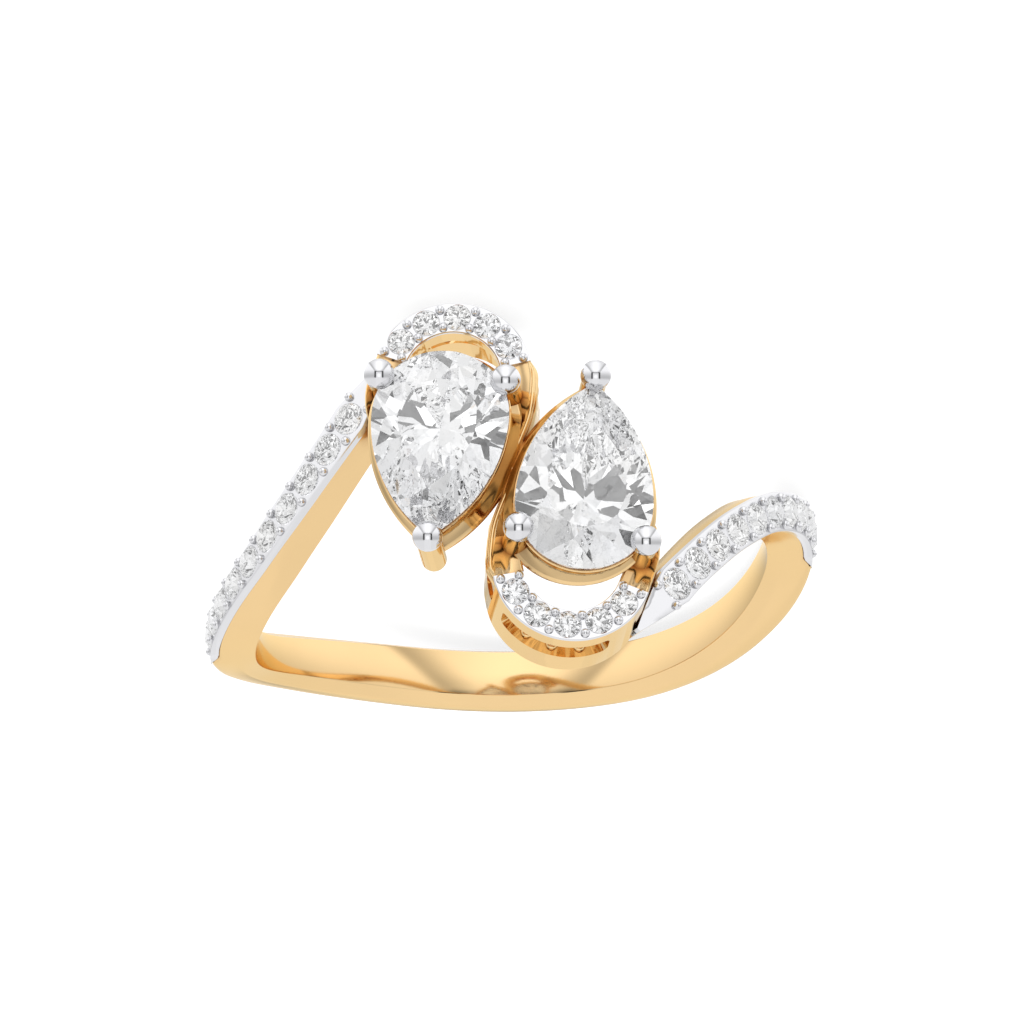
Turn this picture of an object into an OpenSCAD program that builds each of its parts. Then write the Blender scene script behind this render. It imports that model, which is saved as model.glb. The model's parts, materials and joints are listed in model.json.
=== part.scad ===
// Toi et moi ring: two pear stones, tip to tail, on a bypass band.
// Sizes are in millimetres.

/* [Finger band] */
// Inner diameter of the band
finger_d = 17.3; // [15:0.1:21]
// Thickness of the band at its lowest point
band_t = 1.75; // [1.4:0.05:2.4]
// Width of the band at its lowest point
band_w = 2.1; // [1.6:0.05:3]
// Thickness of the arms below their stones
arm_t = 1.5; // [1.3:0.05:2.2]
// Width of the arms where they carry stones
arm_w = 1.3; // [1.2:0.02:2]
// How far each shoulder swings sideways
shoulder_swing = 1.78; // [0.5:0.02:2.4]
// Depth of the slope along the inner edges
comfort_depth = 0.6; // [0.2:0.05:0.8]
// Width of the slope along the inner edges
comfort_w = 0.2; // [0.05:0.01:0.4]

/* [Main stones] */
// Width of a pear stone
pear_w = 4.48; // [4:0.02:5.2]
// Length of a pear stone
pear_l = 6.4; // [5.8:0.05:7.4]
// Height of the pear stones' girdle above the centre of the band
girdle_z = 12.45; // [12:0.05:13.5]
// Lean of each pear stone in plan
pear_lean = 4.7; // [0:0.1:10]
// Outward tilt of each pear stone
pear_tilt = 5; // [0:0.5:8]
// Half the distance across the finger between the round ends
pair_x = 2.32; // [2.2:0.02:2.8]
// Half the distance along the finger between the round ends
pair_y = 1.52; // [1.2:0.02:1.9]

/* [Claws] */
// Radius of a claw's round head
claw_head_r = 0.48; // [0.4:0.01:0.6]
// Radius of a claw's stem
claw_stem_r = 0.42; // [0.3:0.01:0.5]
// Length of a claw's stem below the girdle
claw_drop = 1.7; // [1.4:0.1:2.6]
// Angle of the shoulder claws above the stone's widest line
claw_angle = 30; // [15:1:45]

/* [Collars] */
// Width of the crescent gap between a pear stone and its halo
crescent_w = 1.08; // [0.6:0.02:1.4]
// Width of the halo band
halo_w = 1; // [0.9:0.02:1.3]
// Depth of the halo's top below the girdle
halo_drop = 1; // [0.7:0.05:1.3]
// Height of the band above the pierced slots
upper_h = 0.78; // [0.6:0.02:1]
// Height of the pierced slots
slot_h = 0.95; // [0.4:0.05:1.2]
// Height of the band below the pierced slots
lower_h = 1.25; // [0.6:0.05:1.4]
// Width of the band below the pierced slots
lower_w = 0.7; // [0.5:0.05:0.9]
// Height of the rail under a pear stone
rail_h = 0.7; // [0.5:0.05:1.2]
// Reach of the rail beyond the stone's edge
rail_w = 0.22; // [0.15:0.01:0.35]
// Width of the S-shaped link between the collars
link_w = 0.6; // [0.4:0.02:0.8]

/* [Small stones] */
// Diameter of a halo stone
halo_d = 0.86; // [0.7:0.01:0.9]
// Diameter of an arm stone
arm_d = 1.06; // [0.8:0.01:1.2]
// Metal between two neighbouring small stones
bead_gap = 0.17; // [0.1:0.01:0.4]
// Gap between any stone and the metal that holds it
seat_gap = 0.03; // [0.02:0.005:0.06]

/* [Hidden] */
HALO_COUNT = 5;
ARM_COUNT = 10;
SIDES = ["left", "right"];
gold = "#e8cc98";
diamond = "#e6edf2";
overlap = 0.15;

// The band and its arms.
// One side runs from the lowest point up to its collar, and the other side is the same
// half turned about the vertical axis. Each row holds: share of the arc, share of the
// shoulder's swing, share of the reach to the collar, width and dome as shares.
finger_r = finger_d / 2;
arm_r = finger_r + arm_t;
SECTIONS = [
    [0.00, 0.00, 0.00, 0.00, 1.00],
    [0.17, 0.04, 0.00, 0.06, 1.00],
    [0.26, 0.16, 0.00, 0.18, 1.00],
    [0.35, 0.37, 0.00, 0.33, 1.00],
    [0.43, 0.63, 0.00, 0.48, 0.90],
    [0.51, 0.88, 0.00, 0.65, 0.60],
    [0.57, 0.98, 0.00, 0.80, 0.20],
    [0.64, 1.00, 0.00, 1.00, 0.00],
    [0.69, 0.97, 0.03, 1.00, 0.00],
    [0.74, 0.93, 0.09, 1.00, 0.00],
    [0.79, 0.92, 0.19, 1.00, 0.00],
    [0.82, 0.84, 0.28, 1.00, 0.00],
    [0.86, 0.72, 0.38, 1.00, 0.00],
    [0.89, 0.58, 0.49, 1.00, 0.00],
    [0.92, 0.42, 0.59, 1.00, 0.00],
    [0.95, 0.25, 0.71, 1.00, 0.00],
    [0.975, 0.10, 0.84, 0.75, 0.00],
    [1.00, 0.00, 1.00, 0.35, 0.00]];
STATIONS = 34;
STONES_END = 0.948;
TAPER_FROM = 0.95;
// Metal left inside the finger hole's wall, for the hole's cylinder to cut away
BORE_SPARE = 0.3;
// The section's rounding: edge drop plain and domed, knee drop, knee share, knee inset, slope
ROUND = [0.1, 0.14, 0.06, 0.3, 0.06, 0.02];

// Plan of a collar, in the stone's own frame: x across, y towards the round end, z up,
// from the centre of the round end. The inner side faces the other stone.
pear_r = pear_w / 2;
point_y = pear_l - pear_r;
side_r = (point_y * point_y + pear_r * pear_r) / pear_w;
halo_y = 0.76 * pear_r;
halo_r = pear_r + crescent_w + halo_w / 2 - halo_y;
halo_x = 0.06 * pear_r;
collar_r = halo_r + halo_w / 2;
collar_h = upper_h + slot_h + lower_h;
girdle_t = 0.16;
crown_h = 0.62;
pavilion_h = 1.9;
// Where the claws stand outside the stone's edge, at the sides and at the point
stem_x = pear_r + 0.14;
stem_point = 0.15;
// Points of the collar's two legs, as shares of half the stone's width
INNER_LEG = [[1.02, -0.45], [1.13, -0.09], [1.22, 0.27], [1.24, 0.64]];
OUTER_LEG = [[-1.183, 0.536], [-1.14, 0.15], [-1, -0.1]];
SLOT_ARCS = [[-6, 22], [38, 124]];
// The link's centre line runs from one collar's inner leg to the other's, in shares of
// the stones' offsets
LINK = [[-0.22, -1.45], [-0.13, -0.8], [0, 0], [0.13, 0.8], [0.22, 1.45]];
LINK_STEP = 0.2;

// Where the collar takes the end of its arm
land_x = pair_x + 0.8 * pear_r;
land_y = pair_y + 1.42 * pear_r;
end_angle = 180 - asin(land_x / arm_r);

function smooth(a, b, c, d, t) = 0.5 * (2 * b + (c - a) * t
    + (2 * a - 5 * b + 4 * c - d) * t * t + (3 * b - a - 3 * c + d) * t * t * t);
function row_at(s, i = 0) = i >= len(SECTIONS) - 2 || SECTIONS[i + 1][0] >= s
    ? i : row_at(s, i + 1);
function blend(s, col) =
    let (i = row_at(s), a = SECTIONS[max(i - 1, 0)], b = SECTIONS[i],
         c = SECTIONS[i + 1], d = SECTIONS[min(i + 2, len(SECTIONS) - 1)])
    smooth(a[col], b[col], c[col], d[col], (s - b[0]) / (c[0] - b[0]));
function side_y(s) = land_y * blend(s, 2) - shoulder_swing * blend(s, 1);
function slope(s) =
    let (h = 0.01, a = max(s - h, 0), b = min(s + h, 1))
    atan2(side_y(b) - side_y(a), arm_r * (b - a) * end_angle * PI / 180);
// A point of the left half: r out from the finger's axis and w across the band
function left_point(s, r, w) =
    let (a = s * end_angle, b = slope(s))
    [-r * sin(a) + w * sin(b) * cos(a),
     side_y(s) + w * cos(b),
     -r * cos(a) - w * sin(b) * sin(a)];
function half_turn(p) = [-p[0], -p[1], p[2]];
function band_point(s, r, w) = s >= 0 ? left_point(s, r, w) : half_turn(left_point(-s, r, -w));
function section(s) =
    let (k = blend(abs(s), 3), dome = blend(abs(s), 4),
         w = (band_w + (arm_w - band_w) * min(k, 1)) / 2 * (abs(s) > TAPER_FROM ? k : 1),
         top = arm_r + (finger_r + band_t - arm_r) * dome,
         edge = top - ROUND[0] - ROUND[1] * dome,
         knee = top - ROUND[2] * dome,
         knee_w = w * (1 - ROUND[3] * dome) - ROUND[4],
         lip = finger_r + comfort_depth,
         under = finger_r - BORE_SPARE,
         cut = ROUND[5] + comfort_w * dome * (comfort_depth + BORE_SPARE) / comfort_depth)
    [[under, -w + cut], [lip, -w], [edge, -w], [knee, -knee_w], [top, 0],
     [knee, knee_w], [edge, w], [lip, w], [under, w - cut]];

module sweep(rings) {
    n = len(rings[0]);
    last = len(rings) - 1;
    side = [for (i = [0 : last - 1], j = [0 : n - 1], k = [0, 1])
        k == 0 ? [i * n + j, i * n + (j + 1) % n, (i + 1) * n + (j + 1) % n]
               : [i * n + j, (i + 1) * n + (j + 1) % n, (i + 1) * n + j]];
    caps = [[for (j = [n - 1 : -1 : 0]) j], [for (j = [0 : n - 1]) last * n + j]];
    polyhedron([for (ring = rings, p = ring) p], concat(side, caps), convexity = 6);
}

module band() {
    sweep([for (i = [-STATIONS : STATIONS])
        let (s = i / STATIONS)
        [for (q = section(s)) band_point(s, q[0], q[1])]]);
}

// The ring lies on its far side: on the left collar's low edge, and on the band's edge from
// one station to the next
COLLAR_FOOT_ANGLE = 90;
BAND_FOOT_STATION = 3;
function turn_z(p, a) = [p[0] * cos(a) - p[1] * sin(a), p[0] * sin(a) + p[1] * cos(a), p[2]];
function turn_y(p, a) = [p[0] * cos(a) + p[2] * sin(a), p[1], p[2] * cos(a) - p[0] * sin(a)];
function left_place(p) =
    turn_y(turn_z(p, -pear_lean), -pear_tilt) + [-pair_x, pair_y, girdle_z];
function unit(v) = v / norm(v);
function band_edge(station) =
    let (s = -station / STATIONS, q = section(s)[6]) band_point(s, q[0], q[1]);
collar_foot = left_place([halo_x + collar_r * cos(COLLAR_FOOT_ANGLE),
    halo_y + collar_r * sin(COLLAR_FOOT_ANGLE), -halo_drop - collar_h]);
band_foot = band_edge(BAND_FOOT_STATION);
up = unit(cross(band_edge(BAND_FOOT_STATION + 1) - band_foot, collar_foot - band_foot));
across = unit([1, 0, 0] - up[0] * up);
along = cross(up, across);
module laid() {
    multmatrix([across, along, up]) children();
}

// Puts what is drawn in a stone's frame on the left side, or on the right side
module at_side(side) {
    rotate([0, 0, side == "left" ? 0 : 180])
        translate([-pair_x, pair_y, girdle_z])
            rotate([0, -pear_tilt, 0])
                rotate([0, 0, -pear_lean])
                    children();
}

module pear_plan(grow) {
    circle(pear_r + grow, $fn = 64);
    intersection() {
        translate([-(side_r - pear_r), 0]) circle(side_r + grow, $fn = 96);
        translate([side_r - pear_r, 0]) circle(side_r + grow, $fn = 96);
        translate([-pear_w, -2 * pear_l]) square([2 * pear_w, 2 * pear_l]);
    }
}

function curve(points, steps) = [for (i = [0 : len(points) - 2], j = [0 : steps - 1])
    let (a = points[max(i - 1, 0)], b = points[i], c = points[i + 1],
         d = points[min(i + 2, len(points) - 1)])
    smooth(a, b, c, d, j / steps)];
function collar_arc() = [for (a = [10 : 20 : 170])
    [halo_x + collar_r * cos(a), halo_y + collar_r * sin(a)]];

module collar_plan(w) {
    difference() {
        polygon(concat(
            curve(concat(INNER_LEG * pear_r, collar_arc(), OUTER_LEG * pear_r), 3),
            [OUTER_LEG[len(OUTER_LEG) - 1] * pear_r]));
        translate([halo_x, halo_y]) circle(collar_r - w, $fn = 64);
        pear_plan(-rail_w);
    }
}

module arc_block(r1, r2, a1, a2, h) {
    rotate([0, 0, a1]) rotate_extrude(angle = a2 - a1, $fn = 64)
        translate([r1, 0]) square([r2 - r1, h]);
}

// The plate that carries the halo stones tilts with the main stone
module halo_plate() {
    translate([0, 0, -halo_drop - upper_h]) linear_extrude(upper_h) collar_plan(halo_w);
}

// The pierced wall below the plate
module collar_wall() {
    top = -halo_drop;
    difference() {
        translate([0, 0, top - collar_h]) linear_extrude(collar_h - upper_h / 2) collar_plan(lower_w);
        for (arc = SLOT_ARCS)
            translate([halo_x, halo_y, top - upper_h - slot_h])
                arc_block(collar_r - halo_w - 0.5, collar_r + 1, arc[0], arc[1], slot_h);
    }
}

// The rail is deep except on the outer side, and reaches further out on the inner side
RAIL_DROP = 0.14;
RAIL_INSET = 0.1;
module rail() {
    top = -girdle_t / 2 - RAIL_DROP;
    difference() {
        translate([rail_w / 2, 0, top - rail_h]) linear_extrude(rail_h) pear_plan(rail_w);
        translate([0, 0, top - 2 * rail_h]) linear_extrude(3 * rail_h) pear_plan(-RAIL_INSET);
        translate([-2 * pear_w - pear_r * 0.5, -pear_l, top - rail_h - overlap])
            cube([2 * pear_w, 2 * pear_l, rail_h / 2 + overlap]);
    }
}

// A claw's head rests just above the stone's crown, and its stem is cut to the stone's edge
CLAW_LIFT = 1.12;
CLAW_SEAT = 0.4;
module claw(x, y) {
    head_z = girdle_t / 2 + claw_head_r * CLAW_LIFT;
    difference() {
        translate([x, y, -claw_drop]) cylinder(h = claw_drop + head_z, r = claw_stem_r, $fn = 32);
        translate([0, 0, -CLAW_SEAT]) linear_extrude(CLAW_SEAT + crown_h) pear_plan(seat_gap);
    }
    translate([x, y, head_z]) sphere(claw_head_r, $fn = 32);
    translate([x, y, -claw_drop]) sphere(claw_stem_r, $fn = 32);
}

module claws() {
    for (a = [claw_angle, 180 - claw_angle]) claw(stem_x * cos(a), stem_x * sin(a));
    claw(0, -(point_y + stem_point));
}

module link() {
    line = curve([for (p = LINK) [p[0] * pair_x, p[1] * pair_y]], 3);
    left = [for (p = line) p - [link_w / 2, 0]];
    right = [for (i = [len(line) - 1 : -1 : 0]) line[i] + [link_w / 2, 0]];
    translate([0, 0, girdle_z - halo_drop - collar_h + LINK_STEP])
        linear_extrude(collar_h - 2 * LINK_STEP)
            polygon(concat(left, right));
}

// Small stones: where they sit
halo_step = 2 * asin((halo_d + bead_gap) / (2 * halo_r));
module at_halo(i) {
    a = 90 + (i - (HALO_COUNT + 1) / 2) * halo_step;
    translate([halo_x + halo_r * cos(a), halo_y + halo_r * sin(a), -halo_drop])
        rotate([0, 0, a])
            children();
}

FINE = 200;
function top_point(s) = left_point(s, arm_r, 0);
function lengths(i = 0, sum = 0, out = []) = i >= FINE ? concat(out, [[sum, i / FINE]])
    : lengths(i + 1, sum + norm(top_point((i + 1) / FINE) - top_point(i / FINE)),
              concat(out, [[sum, i / FINE]]));
LENGTHS = lengths();
WAYS = [for (p = LENGTHS) [p[1], p[0]]];
function arm_share(i) =
    lookup(lookup(STONES_END, WAYS) - (i - 1) * (arm_d + bead_gap), LENGTHS);
module at_arm(side, i) {
    s = arm_share(i);
    rotate([0, 0, side == "left" ? 0 : 180])
        translate(top_point(s))
            rotate([0, s * end_angle + 180, 0])
                rotate([0, 0, -slope(s)])
                    children();
}

// Cut stones. The girdle's middle is at z = 0.
module gem(rim, table, culet, crown, below, girdle) {
    n = len(rim);
    mid = [for (i = [0 : n - 1]) (rim[i] + rim[(i + 1) % n]) / 2 * 0.86 + culet * 0.14];
    top = [for (i = [0 : 2 : n - 1]) (rim[i] - culet) * table + culet];
    m = len(top);
    points = concat(
        [for (p = top) [p[0], p[1], girdle / 2 + crown]],
        [for (p = rim) [p[0], p[1], girdle / 2]],
        [for (p = rim) [p[0], p[1], -girdle / 2]],
        [[culet[0], culet[1], -girdle / 2 - below]]);
    tip = m + 2 * n;
    faces = concat(
        [[for (j = [m - 1 : -1 : 0]) j]],
        [for (j = [0 : m - 1]) [j, (j + 1) % m, m + (2 * j + 1) % n]],
        [for (j = [0 : m - 1]) [j, m + (2 * j + 1) % n, m + 2 * j]],
        [for (j = [0 : m - 1]) [(j + 1) % m, m + (2 * j + 2) % n, m + (2 * j + 1) % n]],
        [for (i = [0 : n - 1]) [m + i, m + (i + 1) % n, m + n + (i + 1) % n, m + n + i]],
        [for (i = [0 : n - 1]) [m + n + i, m + n + (i + 1) % n, tip]]);
    polyhedron(points, faces);
}

function pear_rim(n) = concat(
    [for (i = [0 : n]) let (a = 180 * i / n) [pear_r * cos(a), pear_r * sin(a)]],
    [for (i = [1 : n - 1]) let (a = asin(point_y / side_r) * i / n)
        [side_r - pear_r - side_r * cos(a), -side_r * sin(a)]],
    [[0, -point_y]],
    [for (i = [n - 1 : -1 : 1]) let (a = asin(point_y / side_r) * i / n)
        [side_r * cos(a) - (side_r - pear_r), -side_r * sin(a)]]);

module pear_stone() {
    color(diamond) gem(pear_rim(8), 0.58, [0, -0.12 * point_y], crown_h, pavilion_h, girdle_t);
}

module round_stone(d) {
    rim = [for (i = [0 : 15]) d / 2 * [cos(22.5 * i), sin(22.5 * i)]];
    color(diamond) translate([0, 0, -0.02 * d])
        gem(rim, 0.57, [0, 0], 0.15 * d, 0.43 * d, 0.04 * d);
}

module pocket(d) {
    translate([0, 0, -0.55 * d]) cylinder(h = d, r = d / 2 + seat_gap, $fn = 24);
}

module ring_metal() {
    color(gold) difference() {
        union() {
            band();
            link();
            for (side = SIDES) at_side(side) {
                collar_wall();
                halo_plate();
                rail();
                claws();
            }
        }
        rotate([90, 0, 0]) cylinder(h = 60, r = finger_r, center = true, $fn = 128);
        for (side = SIDES) {
            at_side(side) for (i = [1 : HALO_COUNT]) at_halo(i) pocket(halo_d);
            for (i = [1 : ARM_COUNT]) at_arm(side, i) pocket(arm_d);
        }
    }
}

laid() {
    ring_metal();
    for (side = SIDES) {
        at_side(side) pear_stone();
        for (i = [1 : HALO_COUNT])
            at_side(side) at_halo(i) round_stone(halo_d);
        for (i = [1 : ARM_COUNT])
            at_arm(side, i) round_stone(arm_d);
    }
}
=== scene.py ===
"""Toi et moi ring: two pear stones, tip to tail, on a bypass band.

Shapes are worked out in millimetres on the upright ring: X to the right of the photo, Y along
the finger, away from the camera, and Z up towards the stones. Each finished piece is then laid
down in the row frame, in metres.
"""

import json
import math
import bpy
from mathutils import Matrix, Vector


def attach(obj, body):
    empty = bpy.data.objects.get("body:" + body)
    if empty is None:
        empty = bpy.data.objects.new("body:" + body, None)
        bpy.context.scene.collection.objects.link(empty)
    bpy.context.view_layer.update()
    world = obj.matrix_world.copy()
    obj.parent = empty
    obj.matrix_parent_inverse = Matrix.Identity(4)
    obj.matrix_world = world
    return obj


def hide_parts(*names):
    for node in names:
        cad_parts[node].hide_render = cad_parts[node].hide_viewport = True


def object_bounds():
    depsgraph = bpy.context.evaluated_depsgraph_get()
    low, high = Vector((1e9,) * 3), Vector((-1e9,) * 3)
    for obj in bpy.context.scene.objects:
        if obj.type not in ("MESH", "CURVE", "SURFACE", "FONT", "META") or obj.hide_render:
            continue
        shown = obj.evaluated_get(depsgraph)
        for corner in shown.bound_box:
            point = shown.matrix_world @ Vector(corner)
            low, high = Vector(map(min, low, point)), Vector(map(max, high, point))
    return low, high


bl_info = {
    "name": "Toi et moi ring",
    "version": (1, 0, 0),
    "blender": (4, 5, 0),
    "location": "3D View > Sidebar > Ring",
    "description": "Bypass ring with two pear stones in pierced halo collars",
    "category": "Add Mesh",
}

import bmesh
import bpy
from bpy.props import FloatProperty, FloatVectorProperty, PointerProperty
from mathutils import Matrix, Vector

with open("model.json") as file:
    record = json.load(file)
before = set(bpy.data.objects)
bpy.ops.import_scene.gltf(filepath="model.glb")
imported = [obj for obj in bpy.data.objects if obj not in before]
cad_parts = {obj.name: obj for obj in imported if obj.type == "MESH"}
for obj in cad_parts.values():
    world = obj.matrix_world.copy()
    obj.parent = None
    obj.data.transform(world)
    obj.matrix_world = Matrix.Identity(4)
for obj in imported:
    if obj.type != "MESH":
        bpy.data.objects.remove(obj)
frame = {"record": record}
CAD_BOX = [list(corner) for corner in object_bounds()]

MM = 0.001
SIDES = ("left", "right")
HALO_COUNT = 5
ARM_COUNT = 10
BAND_STATIONS = 260
ARM_PLATE_STATIONS = 70
HALO_PLATE_STATIONS = 60
RAIL_STATIONS = 140
# How far the white plates stand out of the gold round them
PROUD = 0.012


# Settings

def length(label, words, size, low, high):
    """A length: the size and its range are given in millimetres, and Blender keeps metres."""
    return FloatProperty(name=label, description=words, default=size * MM, min=low * MM,
                         max=high * MM, precision=5, subtype="DISTANCE")


def angle(label, words, size, low, high):
    """An angle: the size and its range are given in degrees, and Blender keeps radians."""
    return FloatProperty(name=label, description=words, default=math.radians(size),
                         min=math.radians(low), max=math.radians(high), subtype="ANGLE")


class BandSettings(bpy.types.PropertyGroup):
    """Sizes of the finger band."""

    finger_d: length("Finger diameter", "Inner diameter of the band", 17.3, 15, 21)
    band_t: length("Band thickness", "Thickness at the lowest point", 1.75, 1.4, 2.4)
    band_w: length("Band width", "Width at the lowest point", 2.1, 1.6, 3)
    arm_t: length("Arm thickness", "Thickness below the arm's stones", 1.5, 1.3, 2.2)
    arm_w: length("Arm width", "Width where the arm carries stones", 1.3, 1.2, 2)
    swing: length("Shoulder swing", "Sideways reach of each shoulder", 1.78, 0.5, 2.4)
    slope_h: length("Slope height", "Height of the inner edge's slope", 0.6, 0.2, 0.8)
    slope_w: length("Slope width", "Width of the inner edge's slope", 0.2, 0.05, 0.4)
    plate_t: length("Plate thickness", "White metal on top of an arm", 0.26, 0.2, 0.5)


class HeadSettings(bpy.types.PropertyGroup):
    """Sizes and angles of the two clusters."""

    pear_w: length("Pear width", "Width of a main stone", 4.48, 4, 5.2)
    pear_l: length("Pear length", "Length of a main stone", 6.4, 5.8, 7.4)
    girdle_z: length("Girdle height", "Girdle above the band's centre", 12.45, 12, 13.5)
    lean: angle("Lean", "Turn of each main stone in plan", 4.7, 0, 10)
    tilt: angle("Tilt", "Outward tilt of each main stone", 5, 0, 8)
    pair_x: length("Half distance across", "Half the spacing across", 2.32, 2.2, 2.8)
    pair_y: length("Half distance along", "Half the spacing along", 1.52, 1.2, 1.9)
    crescent_w: length("Crescent", "Gap between stone and halo", 1.08, 0.6, 1.4)
    halo_w: length("Halo width", "Width of the halo band", 1, 0.9, 1.3)
    halo_drop: length("Halo drop", "Halo's top below the girdle", 1, 0.7, 1.3)
    upper_h: length("Upper band", "Height above the pierced slots", 0.78, 0.6, 1)
    slot_h: length("Slot height", "Height of the pierced slots", 0.95, 0.4, 1.2)
    lower_h: length("Lower band", "Height below the pierced slots", 1.25, 0.6, 1.4)
    lower_w: length("Lower width", "Thickness below the slots", 0.7, 0.5, 0.9)
    rail_h: length("Rail height", "Height of the rail under a stone", 0.7, 0.5, 1.2)
    rail_w: length("Rail reach", "Rail beyond the stone's edge", 0.22, 0.15, 0.35)
    claw_head_r: length("Claw head", "Radius of a claw's round head", 0.5, 0.4, 0.6)
    claw_stem_r: length("Claw stem", "Radius of a claw's stem", 0.42, 0.3, 0.5)
    claw_drop: length("Claw drop", "Stem's length below the girdle", 1.7, 1.4, 2.6)
    claw_angle: angle("Claw angle", "Shoulder claws' place", 30, 15, 45)


class StoneSettings(bpy.types.PropertyGroup):
    """Sizes of the small stones and their grains."""

    halo_d: length("Halo stone", "Diameter of a halo stone", 0.86, 0.7, 0.9)
    arm_d: length("Arm stone", "Diameter of an arm stone", 1.06, 0.8, 1.2)
    bead_gap: length("Stone spacing", "Metal between two small stones", 0.17, 0.1, 0.4)
    seat_gap: length("Seat gap", "Gap between a stone and its seat", 0.03, 0.02, 0.06)
    grain_r: length("Grain", "Radius of a raised grain", 0.15, 0.08, 0.2)


class FinishSettings(bpy.types.PropertyGroup):
    """Colours and polish of the metals and stones."""

    gold: FloatVectorProperty(name="Gold", description="Colour of the yellow gold",
                              subtype="COLOR", size=3, default=(0.86, 0.61, 0.315))
    white: FloatVectorProperty(name="White metal", description="Colour of the rhodium plating",
                               subtype="COLOR", size=3, default=(0.74, 0.74, 0.76))
    polish: FloatProperty(name="Polish", description="Roughness of the polished metal",
                          default=0.09, min=0, max=0.5, subtype="FACTOR")
    floor: FloatVectorProperty(name="Floor", description="Colour of the floor",
                               subtype="COLOR", size=3, default=(0.5, 0.5, 0.5))


class Sizes:
    """A group's values, with its lengths in millimetres."""

    def __init__(self, group):
        for name in type(group).__annotations__:
            value = getattr(group, name)
            if group.bl_rna.properties[name].subtype == "DISTANCE":
                # A Vector rounds to single precision, as Blender's meshes do
                value = Vector((round(value / MM, 4), 0)).x
            setattr(self, name, value)


def settings():
    """The settings of the band, the head, the stones and the finish."""
    return [Sizes(getattr(bpy.context.scene, name)) for name in GROUPS]


# Frame

def lying_pose():
    """The upright ring's millimetres to the row frame's metres, from the finger hole's axis."""
    bore = next(m for m in frame["record"]["mounts"] if m["name"] == "finger_bore")
    axis = Vector(bore["axis"]).normalized()
    up_x = axis.x / math.hypot(axis.x, axis.z)
    up = Vector((up_x, axis.z, math.sqrt(1 - up_x ** 2 - axis.z ** 2)))
    across = (Vector((1, 0, 0)) - up_x * up).normalized()
    turn = Matrix((across, up.cross(across), up)).to_4x4()
    return turn @ Matrix.Scale(MM, 4)


POSE = lying_pose()


def half_turn(side):
    """The right half is the left half, turned about the upright axis."""
    return Matrix.Rotation(0 if side == "left" else math.pi, 4, "Z")


def cluster_place(side):
    """The frame of a main stone: Y towards its round end and Z up, at the round end's centre."""
    head = settings()[1]
    return (half_turn(side) @ Matrix.Translation((-head.pair_x, head.pair_y, head.girdle_z))
            @ Matrix.Rotation(-head.tilt, 4, "Y") @ Matrix.Rotation(-head.lean, 4, "Z"))


# Mesh tools

def sweep(bm, rings, closed=False):
    """Draws the first ring of points and extrudes it from station to station."""
    first = [bm.verts.new(p) for p in rings[0]]
    loop = first
    loops = [first]
    edges = [bm.edges.new(pair) for pair in zip(loop, loop[1:] + loop[:1])]
    for ring in rings[1:]:
        grown = bmesh.ops.extrude_edge_only(bm, edges=edges)["geom"]
        new = {g for g in grown if isinstance(g, bmesh.types.BMVert)}
        loop = [next(e.other_vert(v) for e in v.link_edges if e.other_vert(v) in new)
                for v in loop]
        loops.append(loop)
        for v, p in zip(loop, ring):
            v.co = p
        edges = [bm.edges.get(pair) for pair in zip(loop, loop[1:] + loop[:1])]
    if closed:
        start = [bm.edges.get(pair) for pair in zip(first, first[1:] + first[:1])]
        bmesh.ops.bridge_loops(bm, edges=edges + start)
    else:
        bm.faces.new(first)
        bm.faces.new(loop)
    bmesh.ops.recalc_face_normals(bm, faces=bm.faces)
    return loops


def lathe(bm, profile, steps, matrix):
    """Spins a profile of (radius, height) round Z and puts the result in its place."""
    line = [bm.verts.new((r, 0, z)) for r, z in profile]
    edges = [bm.edges.new(pair) for pair in zip(line, line[1:])]
    bmesh.ops.spin(bm, geom=line + edges, cent=(0, 0, 0), axis=(0, 0, 1), angle=2 * math.pi,
                   steps=steps, use_merge=True)
    part = connected(line[0])
    bmesh.ops.remove_doubles(bm, verts=part, dist=1e-5)
    part = [v for v in part if v.is_valid]
    bmesh.ops.transform(bm, matrix=matrix, verts=part)


def connected(vert):
    """Every vertex joined to this one."""
    seen, todo = {vert}, [vert]
    while todo:
        for edge in todo.pop().link_edges:
            for v in edge.verts:
                if v not in seen:
                    seen.add(v)
                    todo.append(v)
    return list(seen)


def new_object(bm, name):
    mesh = bpy.data.meshes.new(name)
    bm.to_mesh(mesh)
    bm.free()
    made = bpy.data.objects.new(name, mesh)
    bpy.context.scene.collection.objects.link(made)
    return made


def lay_down(bm, name):
    """Puts a shape in the row frame, faces outwards, as an object at the origin."""
    bmesh.ops.recalc_face_normals(bm, faces=bm.faces)
    bmesh.ops.transform(bm, matrix=POSE, verts=bm.verts)
    return new_object(bm, name)


def finish(bm, name, surface, smooth_angle=35, cutter=None, bevel=0, lining=None,
           slot="gold", replaces=("ring_metal",)):
    """Lays a shape down in the row frame and makes it a piece of the ring, by default of metal."""
    piece = lay_down(bm, name)
    surfaces = [material(each) for each in (surface, lining) if each]
    for each in surfaces:
        piece.data.materials.append(each)
    if cutter:
        for each in surfaces:
            cutter.data.materials.append(each)
        carve = piece.modifiers.new("Carve", "BOOLEAN")
        carve.operation, carve.solver, carve.object = "DIFFERENCE", "EXACT", cutter
        bake(piece)
        bpy.data.objects.remove(cutter)
    if bevel:
        soften = piece.modifiers.new("Soften", "BEVEL")
        soften.width, soften.segments, soften.limit_method = bevel * MM, 2, "ANGLE"
        soften.angle_limit = math.radians(smooth_angle)
        bake(piece)
    piece.data.shade_smooth()
    piece.data.set_sharp_from_angle(angle=math.radians(smooth_angle))
    # The stones return the studio's light, and not the colour of the metal below them
    piece.visible_transmission = slot == "diamond"
    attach(piece, "root")
    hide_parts(*replaces)


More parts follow.
